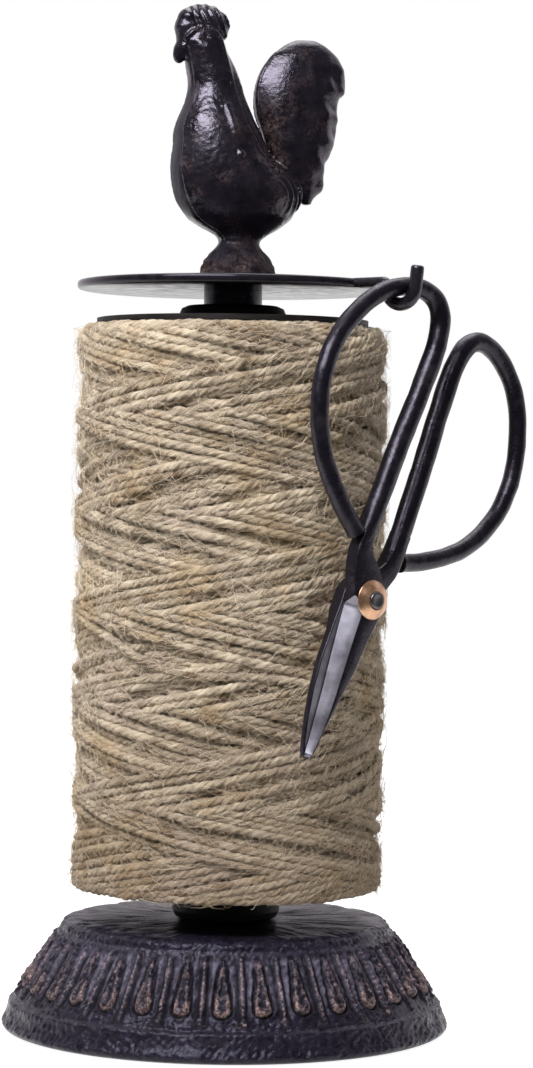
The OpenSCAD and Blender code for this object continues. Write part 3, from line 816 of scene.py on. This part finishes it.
def comb_field(x, y, z):
    """Dome of slanted ribs with smooth lumps in front."""
    dome = ball(x, y, z, (-7.8, 0, 56.6), (6.1, 3.3, 5.0))
    pitch = 1.8
    lean = x + 0.42 * (z - 57)
    rib = (lean + 7.1) / pitch
    ribs = 0.42 * swell((rib - np.round(rib)) * pitch, 0.34) - 0.12
    ribs = ribs * ease(lean, -11.6, -10.2) * (0.3 + 0.7 * ease(np.abs(y), 0.2, 1.8))
    return with_lumps(dome - ribs * ease(z, 53.0, 54.5), COMB_LUMPS, x, y, z)


def body_field(x, y, z):
    """Mound, body, neck and head, with the edge of the neck's feathers, a wing's rings and small lumps."""
    body = slice_field(BODY, x, y, z, 0.43)
    edge = (0.36 + 0.25 * ease(z, 48, 53)) * swell(line_gap(x, z, HOOD), 0.55)
    body = body - edge + 0.26 * swell(line_gap(x - 1.0, z, HOOD), 0.6)
    body = body + 0.6 * swell(np.hypot((x + 8.2) / 1.5, z - 53.8), 1.1)
    body = body - 0.4 * swell(line_gap(x, z, SIDE_STRIP), 0.75)
    body = body - 0.65 * swell(np.hypot(x + 0.9, z - 27.8), 0.85)
    body = body - 0.3 * swell(np.hypot(x - 2.6, z - 26.6), 0.8)
    ring = np.hypot(x - 6.4, z - 18.6)
    plume = 0.26 * np.cos(ring * (TAU / 1.5)) * ease(ring, 3.2, 4.2) * (1 - ease(ring, 8.8, 9.8))
    body = body + plume * ease(x, 4.5, 7.5) * ease(z, 13.5, 17)
    lobes = (0.7 * np.abs(np.sin(3.5 * np.arctan2(y, x - 1) + 0.8 * np.sin(0.9 * z)))
             + 0.16 * np.sin(2.1 * z + 2 * x) * np.sin(1.7 * y + z))
    return body + (0.35 - lobes) * (1 - ease(z, 5.5, 7.5)) * ease(z, 0.2, 1.2)


def tail_field(x, y, z):
    """Tail with streaks and a lumpy back edge."""
    tail = slice_field(TAIL, x, y, z, 0.28)
    lumps = 0.4 * np.sin(z * 1.05 + 0.3 * x) * ease(x, 16, 21) * ease(np.abs(y), 1.0, 3)
    streaks = 0.13 * np.sin((x + 0.25 * z) * 1.8 + 1.2 * np.sin(z * 0.45)) * ease(x, 13, 18)
    return tail - (lumps * 0.7 + streaks) * (1 - ease(z, 46, 53)) + 0.12


def rooster_field(x, y, z):
    """Signed distance of the whole casting, in its own frame with the beak towards minus x."""
    shape = blend(body_field(x, y, z), tail_field(x, y, z), 1.2)
    shape = blend(shape, comb_field(x, y, z), 0.4)
    shape = with_lumps(shape, HEAD_LUMPS, x, y, z)
    return with_lumps(shape, CHEEK_KNOB, x, np.abs(y), z)


def surface_net(field, origin, step):
    """Points and quads of the zero surface of a field on a regular grid."""
    inside = field < 0
    shape = np.array(field.shape)
    corners = list(np.ndindex(2, 2, 2))

    def window(grid, corner):
        return grid[tuple(slice(c, n - 1 + c) for c, n in zip(corner, shape))]

    cells = sum(window(inside, corner).astype(int) for corner in corners)
    active = (cells > 0) & (cells < 8)
    number = np.full(cells.shape, -1)
    number[active] = np.arange(active.sum())
    total, weight = 0, 0
    for corner, axis in ((c, way) for c in corners for way in range(3) if not c[way]):
        along = np.eye(3, dtype=int)[axis]
        here, there = (window(field, c)[active] for c in (corner, corner + along))
        cross = (here < 0) != (there < 0)
        share = np.where(cross, here / np.where(cross, here - there, 1), 0)
        total = total + (corner + along * share[:, None]) * cross[:, None]
        weight = weight + cross
    points = origin + step * (np.argwhere(active) + total / weight[:, None])
    quads = []
    for axis in range(3):
        u, v = (axis + 1) % 3, (axis + 2) % 3
        starts_inside = inside.take(range(shape[axis] - 1), axis)
        spots = np.argwhere(np.diff(inside, axis=axis))
        beside = spots[:, [u, v]]
        spots = spots[((beside > 0) & (beside < shape[[u, v]] - 1)).all(1)]
        ring = []
        for du, dv in ((-1, -1), (0, -1), (0, 0), (-1, 0)):
            cell = spots.copy()
            cell[:, u] += du
            cell[:, v] += dv
            ring.append(number[tuple(cell.T)])
        quad = np.stack(ring, 1)
        turned_in = ~starts_inside[tuple(spots.T)]
        quad[turned_in] = quad[turned_in][:, ::-1]
        quads.append(quad)
    return points, np.vstack(quads)


def rooster_wear(x, y, z):
    """Brown rub and dullness by place, in the casting's own frame."""
    low_tail = ease(x, 4, 7) * (1 - ease(x, 9, 13)) * ease(z, 22, 26) * (1 - ease(z, 36, 44))
    rub = 0.2 * ripple(np.stack([x, y, z], 1), 7.0, 53) + 0.8 * low_tail + 0.6 * (1.0 - ease(z, 4, 10))
    front_strip = ease(-np.abs(y), -4.6, -3.6) * ease(-x, 6, 8) * ease(z, 13, 17) * (1 - ease(z, 40, 45))
    mound = 0.9 * (1 - ease(z, 6, 10))
    breast = 0.22 * ease(z, 24, 27) * (1 - ease(z, 31, 34)) * (1 - ease(x, -4, -1))
    return np.clip(rub, 0, 1), np.max([front_strip, mound, breast], axis=0)


def rooster(looks):
    """Cast rooster on its mound, turned a little from the front."""
    step = 0.34
    low = np.array([-17, -13, -1.0])
    high = (27, 13, 64)
    floor = 0.02
    x, y, z = np.meshgrid(*(np.arange(a, b, step) for a, b in zip(low, high)), indexing="ij", sparse=True)
    points, quads = surface_net(np.maximum(rooster_field(x, y, z), floor - z), low, step)
    points[:, 2] = np.maximum(points[:, 2], floor)
    x, y, z = points.T
    cast = 0.03 * ripple(points, 4.5, 51) + 0.02 * ripple(points, 1.5, 52)
    middle = np.interp(z, [0, 15, 45, 63], [1, 1, -6, -7])
    away = np.stack([x - middle, y, np.zeros_like(z)], 1)
    away /= np.linalg.norm(away, axis=1)[:, None] + 1e-6
    points = points + away * (cast * ease(z, 0.3, 1.5))[:, None]
    rub, strip = rooster_wear(*points.T)
    cosine, sine = math.cos(ROOSTER_YAW), math.sin(ROOSTER_YAW)
    points[:, :2] = points[:, :2] @ np.array([[cosine, sine], [-sine, cosine]])
    on_mound = points[:, 2][quads].mean(1) < MOUND_TOP
    points[:, 2] += DISC_TOP
    piece = make_mesh("rooster", points, quads, looks["rooster_iron"])
    piece.data.materials.append(looks["mound_iron"])
    piece.data.polygons.foreach_set("material_index", on_mound.astype(np.int32))
    add_attribute(piece, "rub", rub)
    add_attribute(piece, "strip", strip)
    place_piece(piece, "finial", "rooster_iron", "rooster_finial")


# Disc and hook

DISC_UNDER, DISC_OVER = 164.41, 166.39
DISC_R, DISC_BORE = 34.68, 3.4
HOOK_ANGLE = math.radians(39)
HOOK_REACH = 46.7  # from the middle of the disc to the middle of the big bend
HOOK_BEND, HOOK_ROOT = 3.8, 1.2
HOOK_LEVEL = 165.4
HOOK_LEAN = math.radians(7)
WIRE_R = 1.45
ROOT_RINGS = 11


def disc(looks):
    """Thin plate with a rounded rim."""
    lower = [(33.8, 0), (34.3, 0.1), (34.6, 0.4), (DISC_R, 0.8)]
    upper = [(DISC_R, 0.7), (34.6, 0.35), (34.3, 0.1), (33.7, 0)]
    faces = (DISC_BORE, 12, 24)
    profile = ([(radius, DISC_UNDER) for radius in faces] + [(r, DISC_UNDER + rise) for r, rise in lower]
               + [(r, DISC_OVER - fall) for r, fall in upper] + [(r, DISC_OVER) for r in faces[::-1]]
               + [(DISC_BORE, DISC_UNDER)])
    piece = lathe("disc", profile, looks["disc_enamel"], 192, sharp=50)
    place_piece(piece, "stand", "black_enamel", "top_disc")


def hook(looks):
    """Bent wire from the disc's edge with its tip standing up."""
    bend_z = HOOK_LEVEL - HOOK_ROOT

    def arc(middle, radius, first, last, count):
        angles = np.radians(np.linspace(first, last, count))
        return np.stack([middle + radius * np.cos(angles), bend_z + radius * np.sin(angles)], 1)

    root = arc(HOOK_REACH - HOOK_BEND - HOOK_ROOT, HOOK_ROOT, 90, 8, 8)
    bend = arc(HOOK_REACH, HOOK_BEND, 180, 353, 28)
    rise = np.array([1.5, 3, 4.2, 4.6, 4.85, 4.97])[:, None]
    tip = bend[-1] + rise * (math.sin(HOOK_LEAN), math.cos(HOOK_LEAN))
    line = np.vstack([[[33.0, HOOK_LEVEL], [34.5, HOOK_LEVEL]], root, bend, tip])
    radii = np.full(len(line), WIRE_R)
    radii[:ROOT_RINGS] = np.interp(np.arange(ROOT_RINGS), [0, 4, ROOT_RINGS - 1], [1.0, 1.15, WIRE_R])
    radii[-4:] = WIRE_R * np.array([1.0, 0.95, 0.8, 0.5])
    flat, across = wire_rings(line, unit(np.gradient(line, axis=0)), radii)
    out, up = flat[..., 0], flat[..., 1]
    points = np.stack([out * math.cos(HOOK_ANGLE) + across * math.sin(HOOK_ANGLE),
                       -out * math.sin(HOOK_ANGLE) + across * math.cos(HOOK_ANGLE), up], -1)
    piece = make_mesh("hook", points, capped(points), looks["black_enamel"], sharp=60)
    place_piece(piece, "stand", "black_enamel", "scissor_hook")


# Scissors, drawn flat as in the part: x across, y along, z towards the front, the rivet at the origin

BLADE_L = 36.4
BLADE_T = 3.5
TIP_T = 1.4
EDGE_T = 0.25  # of the cutting edge
BLADE_GAP = 0.05
NECK_TOP = 18
GROUND_TO = -1.3  # the bright bevel ends here
BRIGHT_SIDES = (0, 1, 11)  # of a section: the bevel and the flat inner face
STEM_R, RING_R = 2.35, 2.05
RIVET_R = 1.9
RIVET_PROUD = 1.9
WASHER_R = 4.25
HANG = polar(HOOK_REACH, -HOOK_ANGLE, 164.1).round(4)  # the place in the hook where the front bow hangs
TO_HANG = (20.281, -64.310, -2.4)  # brings that point of the bow to the origin of the drawing
SCISSOR_YAW, SCISSOR_LEAN = 41, 24.6
BOW = [[6.7, 11.8], [6.3, 33.4], [5.3, 55.6], [7.6, 65.0], [14.7, 66.9], [24.8, 61.1],
       [31.9, 48.2], [32.1, 35.8], [26.2, 23.6], [17, 15.8], [10.2, 11.8]]
# The back bow was bent a little wider
BACK_BOW = BOW[:5] + [[25.1, 61.3], [31.6, 48.6], [32.1, 36.1], [26.5, 24.2], [17.0, 16.6], [9.9, 12.8]]
# Left and right edges of the flat blades and necks at stations along y
PLATE_Y = [-36.4, -35.9, -33.5, -28.5, -22.2, -15.5, -7.4, -2.6,
           -0.4, 0.6, 2.6, 4.8, 7.0, 8.5, 10.5, 13.5, 18.0]
BLADE_RIGHT = [0.9, 0.95, 1.15, 1.6, 2.15, 2.95, 3.85, 4.3]
FRONT_LEFT = [0.0, -0.2, -0.55, -1.15, -1.9, -2.8, -3.2, -3.8,
              -4.15, -4.2, -3.0, -1.4, 1.0, 3.4, 4.6, 4.8, 4.45]
FRONT_RIGHT = BLADE_RIGHT + [4.9, 5.5, 6.5, 7.4, 8.0, 8.3, 8.6, 8.8, 8.95]
# The back blade lies wider on its flat side
BACK_LEFT = [-0.6, -0.9, -1.8, -3.2, -4.4, -5.0, -4.9, -4.8,
             -4.9, -4.9, -4.2, -2.2, 0.3, 2.4, 3.7, 4.2, 4.35]
BACK_RIGHT = BLADE_RIGHT + [4.5, 4.7, 5.3, 6.1, 7.0, 7.6, 8.2, 8.7, 8.95]
# Each half: edges, thickness ahead of the rivet, bow, and the axis on which the drawing is mirrored
HALVES = {"front": (FRONT_LEFT, FRONT_RIGHT, 3.2, BOW, 0), "back": (BACK_LEFT, BACK_RIGHT, 2.1, BACK_BOW, 2)}


def hung(points):
    """Points of the flat drawing at their hung place."""
    turn = (Matrix.Rotation(math.radians(SCISSOR_YAW), 4, "Z") @ Matrix.Rotation(math.radians(90), 4, "X")
            @ Matrix.Rotation(math.radians(-SCISSOR_LEAN), 4, "Z"))
    matrix = np.array(Matrix.Translation(HANG) @ turn @ Matrix.Translation(TO_HANG))
    return np.asarray(points) @ matrix[:3, :3].T + matrix[:3, 3]


def quarter(x, z, radius, first):
    """Four points on a quarter circle about a middle, from an angle in degrees."""
    arc = np.radians(first + np.array([0, 30, 60, 90]))
    return np.stack([x + radius * np.cos(arc), z + radius * np.sin(arc)], 1)


def plate_section(y, left, right, slim):
    """One cross-section [x, z] of a blade or neck: round corners, and a ground bevel on the blade."""
    thick = np.interp(y, [-BLADE_L, -9, -WASHER_R, 6, 16], [TIP_T, slim, BLADE_T, BLADE_T, 2 * STEM_R - 0.06])
    corner = np.interp(y, [-BLADE_L, -30, 8, 17.5], [0.25, 0.45, 0.5, 2.25])
    corner = min(corner, (right - left) * 0.45, thick * 0.48)
    low = min(corner, np.interp(y, [8, 17.5], [0.3, 2.25]))
    ground = 1 - ease(y, -2.8, -0.8)
    sharp = low * (1 - ground) + 0.01 * ground
    wide = min(np.interp(y, [-BLADE_L, -34, -26, -4], [0.7, 1.6, 2.3, 2.85]), 0.92 * (right - left))
    rise = thick - EDGE_T
    bevel = np.array([[right, EDGE_T], [right - 0.5 * wide, EDGE_T + 0.5 * rise],
                      [right - 0.97 * wide, thick - 0.03 * rise], [right - wide - 0.12, thick]])
    upper_right = quarter(right - corner, thick - corner, corner, 0) * (1 - ground) + bevel * ground
    return np.vstack([upper_right, quarter(left + corner, thick - corner, corner, 90),
                      quarter(left + low, low, low, 180), quarter(right - sharp, sharp, sharp, 270)])


def plate_rings(lefts, rights, slim):
    """Rings of points up the blade and neck, each running round one cross-section."""
    rings = []
    for y in np.concatenate([np.linspace(-BLADE_L, -4, 40), np.linspace(-3.4, NECK_TOP, 46)]):
        left, right = (np.interp(y, PLATE_Y, edge) for edge in (lefts, rights))
        section = plate_section(y, left, right, slim)
        rings.append(np.insert(section, 1, y, axis=1))
    return np.array(rings)


def bow_rings(bow):
    """Rings of the bow's wire, narrowed where it leaves the neck and cut plain at its end."""
    steps = 12
    line = evened(smooth_curve(bow, steps), 16)
    share = np.arange(len(line)) / steps
    reach = STEM_R + (RING_R - STEM_R) * ease(share, 2, 5)
    reach = reach * (0.82 + 0.18 * ease(share, 0.0, 0.4))
    along = unit(np.gradient(line, axis=0))
    for gap, size in ((0.25, 1.02), (0.5, 1.03)):
        line = np.vstack([line, line[-1] + along[-1] * gap])
        along = np.vstack([along, along[-1:]])
        reach = np.append(reach, RING_R * size)
    flat, across = wire_rings(line, along, reach)
    rings = np.concatenate([flat, STEM_R + across[..., None]], -1)
    middle = np.insert(line, 2, STEM_R, axis=1)[:, None]
    forge = 0.03 * ripple(rings, 7.0, 61)
    return middle + (rings - middle) * (1 - np.abs(forge))[..., None]


def scissor_half(half, looks):
    """Wire bow that flattens into a neck and a ground blade."""
    lefts, rights, slim, bow_line, mirror_axis = HALVES[half]
    plate = plate_rings(lefts, rights, slim)
    bow = bow_rings(bow_line)
    rows, sides = plate.shape[:2]
    points = np.vstack([plate.reshape(-1, 3), bow.reshape(-1, 3)])
    faces = capped(plate) + [[k + rows * sides for k in face] for face in capped(bow)]
    points[:, 2] += BLADE_GAP
    points[:, mirror_axis] *= -1
    piece = make_mesh(f"{half}_scissor", hung(points), faces, looks["scissor_steel"], sharp=32)
    piece.data.materials.append(looks["ground_steel"])
    for row in range(1, np.searchsorted(plate[:, 0, 1], GROUND_TO, side="right")):
        for side in BRIGHT_SIDES:
            piece.data.polygons[row * sides + side].material_index = 1
    place_piece(piece, f"scissors_{half}", "scissor_steel", f"scissor_{half}_half")


def turned(name, profile, sign, material, around=48):
    """Round piece on the rivet's axis from [radius, height] points; sign -1 puts it behind."""
    rings = revolve(profile, around) * (1, 1, sign)
    return make_mesh(name, hung(rings), capped(rings), material)


def rivet_and_washers(looks):
    """Rivet with slightly hollow ends, and a domed washer on each side."""
    inner = BLADE_T + BLADE_GAP
    reach = inner + RIVET_PROUD
    hollow = 0.4
    profile = [[hollow, -reach + 0.2], [RIVET_R - 0.4, -reach], [RIVET_R - 0.1, -reach + 0.15],
               [RIVET_R, -reach + 0.4], [RIVET_R, reach - 0.35], [RIVET_R - 0.12, reach - 0.1],
               [RIVET_R - 0.4, reach], [RIVET_R - 0.9, reach - 0.12], [hollow, reach - 0.2]]
    rivet = turned("scissor_rivet_end", profile, 1, looks["rivet_end"])
    place_piece(rivet, "scissors_front", "rivet_brass", "scissor_rivet")
    bore, mouth = RIVET_R + 0.06, RIVET_R + 0.12
    dome = [[bore, inner], [WASHER_R - 0.12, inner], [WASHER_R, inner + 0.16]]
    for radius in mouth + (WASHER_R - mouth) * np.linspace(0.9, 0, 9):
        dome.append([radius, inner + 1.7 * (1 - ((radius - 0.6) / (WASHER_R - 0.55)) ** 2.1)])
    dome.append([bore, inner + 1.25])
    for sign, node in ((1, "scissor_front_washer"), (-1, "scissor_back_washer")):
        piece = turned(node + "_dome", dome, sign, looks["rivet_brass"], 64)
        place_piece(piece, "scissors_front", "rivet_brass", node)


# Stage: camera, light, floor

PHOTO_HEIGHT = 1068  # pixels
FOCAL_PIXELS = 3183.8
SENSOR = 36
CAMERA_PLACE = (0.0081125, -0.712, 0.123)
CAMERA_DOWN, CAMERA_ROLL = math.radians(1.0202), math.radians(0.6957)
# Lamps as [name, place, target, size, power, whether reflections show it, colour if not white]
LAMPS = [("key", (-0.22, -0.42, 0.58), (0, 0, 0.2), (0.5, 0.24), 6.6, True, (0.94, 0.95, 1.0)),
         ("side", (-0.85, -0.4, 0.32), (0, 0, 0.11), (0.6, 0.7), 0.75, False),
         ("fill", (0.8, -0.6, 0.3), (0, 0, 0.12), (0.5, 0.8), 1.1, False),
         ("upper", (-0.08, -0.32, 0.34), (0, 0, 0.15), (0.2, 0.1), 0.35, False),
         ("top", (0.0, 0.25, 0.9), (0, 0, 0.1), (0.6, 0.6), 4, True)]


def set_camera():
    """Camera at the photo's place, turned a little down and rolled."""
    data = bpy.data.cameras.new("camera")
    data.sensor_fit = "VERTICAL"
    data.sensor_height = SENSOR
    data.lens = FOCAL_PIXELS / PHOTO_HEIGHT * SENSOR
    data.clip_start = 0.05
    camera = new_object("camera", data)
    pitch = math.radians(90) - CAMERA_DOWN
    camera.matrix_world = (Matrix.Translation(CAMERA_PLACE) @ Matrix.Rotation(pitch, 4, "X")
                           @ Matrix.Rotation(CAMERA_ROLL, 4, "Z"))
    bpy.context.scene.camera = camera


def area_lamp(name, place, target, size, power, glossy, colour=(1, 1, 1)):
    data = bpy.data.lights.new(name, "AREA")
    data.shape = "RECTANGLE"
    data.size, data.size_y = size
    data.energy = power
    data.color = colour
    lamp = new_object(name, data)
    lamp.visible_glossy = glossy
    away = Vector(place) - Vector(target)
    lamp.matrix_world = Matrix.Translation(place) @ away.to_track_quat("Z", "Y").to_matrix().to_4x4()


def set_world():
    """White all round for the camera; the object's reflections see white behind and a dim room in front."""
    world = bpy.data.worlds.new("studio")
    bpy.context.scene.world = world
    world.use_nodes = True
    nodes = Nodes(world.node_tree)
    ray = nodes.add("ShaderNodeLightPath").outputs
    place = nodes.add("ShaderNodeTexCoord").outputs["Generated"]
    way = nodes.add("ShaderNodeSeparateXYZ", Vector=place).outputs
    room = nodes.remap(way["Y"], -0.05, 0.4, 0.04, 1.0)
    sky = nodes.remap(way["Z"], -0.2, 0.4, 0.14, 0.56)
    seen = nodes.larger(ray["Is Camera Ray"], ray["Is Transmission Ray"])
    strength = nodes.between(ray["Is Diffuse Ray"], nodes.between(seen, room, 1.0), sky)
    tint = nodes.mix(ray["Is Glossy Ray"], (1, 1, 1, 1), (1, 0.94, 1, 1))
    nodes.fill(world.node_tree.nodes["Background"], {"Color": tint, "Strength": strength})


def set_floor():
    """White table that keeps only a slight shadow and ends in front of the object."""
    front, far = -0.14, 4
    mesh = bpy.data.meshes.new("floor")
    mesh.from_pydata([(-far, front, 0), (far, front, 0), (far, far, 0), (-far, far, 0)], [], [(0, 1, 2, 3)])
    floor = new_object("floor", mesh)
    look = Look("floor_white")
    ray = look.add("ShaderNodeLightPath").outputs
    seen = look.larger(ray["Is Camera Ray"], ray["Is Glossy Ray"])
    seen = look.larger(seen, ray["Is Transmission Ray"])
    look.base(Base_Color=(0.4, 0.39, 0.38, 1), Roughness=1.0, Specular_IOR_Level=0.0,
              Emission_Color=(1, 1, 1, 1), Emission_Strength=look.times(seen, 0.9))
    mesh.materials.append(look.material)
    floor.location.z = -0.0002


def set_stage():
    bpy.context.scene.view_settings.view_transform = "Standard"
    set_camera()
    set_world()
    set_floor()
    for lamp in LAMPS:
        area_lamp(*lamp)


def finish_cad_nodes(looks):
    """Better materials for the CAD nodes that stay in view."""
    for name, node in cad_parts.items():
        finish = "bobbin_black" if name.startswith("bobbin") else "black_enamel"
        if name in ("spindle_washer", "spindle_nut", "finial_stud"):
            finish = "bare_steel"
        node.data.materials.clear()
        node.data.materials.append(looks[finish])


set_stage()
looks = all_looks()
finish_cad_nodes(looks)
laid = lay_strand()
twine_strand(looks, laid)
twine_heart(looks, laid)
twine_fibres(looks, laid)
foot(looks)
rooster(looks)
for half in HALVES:
    scissor_half(half, looks)
rivet_and_washers(looks)
disc(looks)
hook(looks)
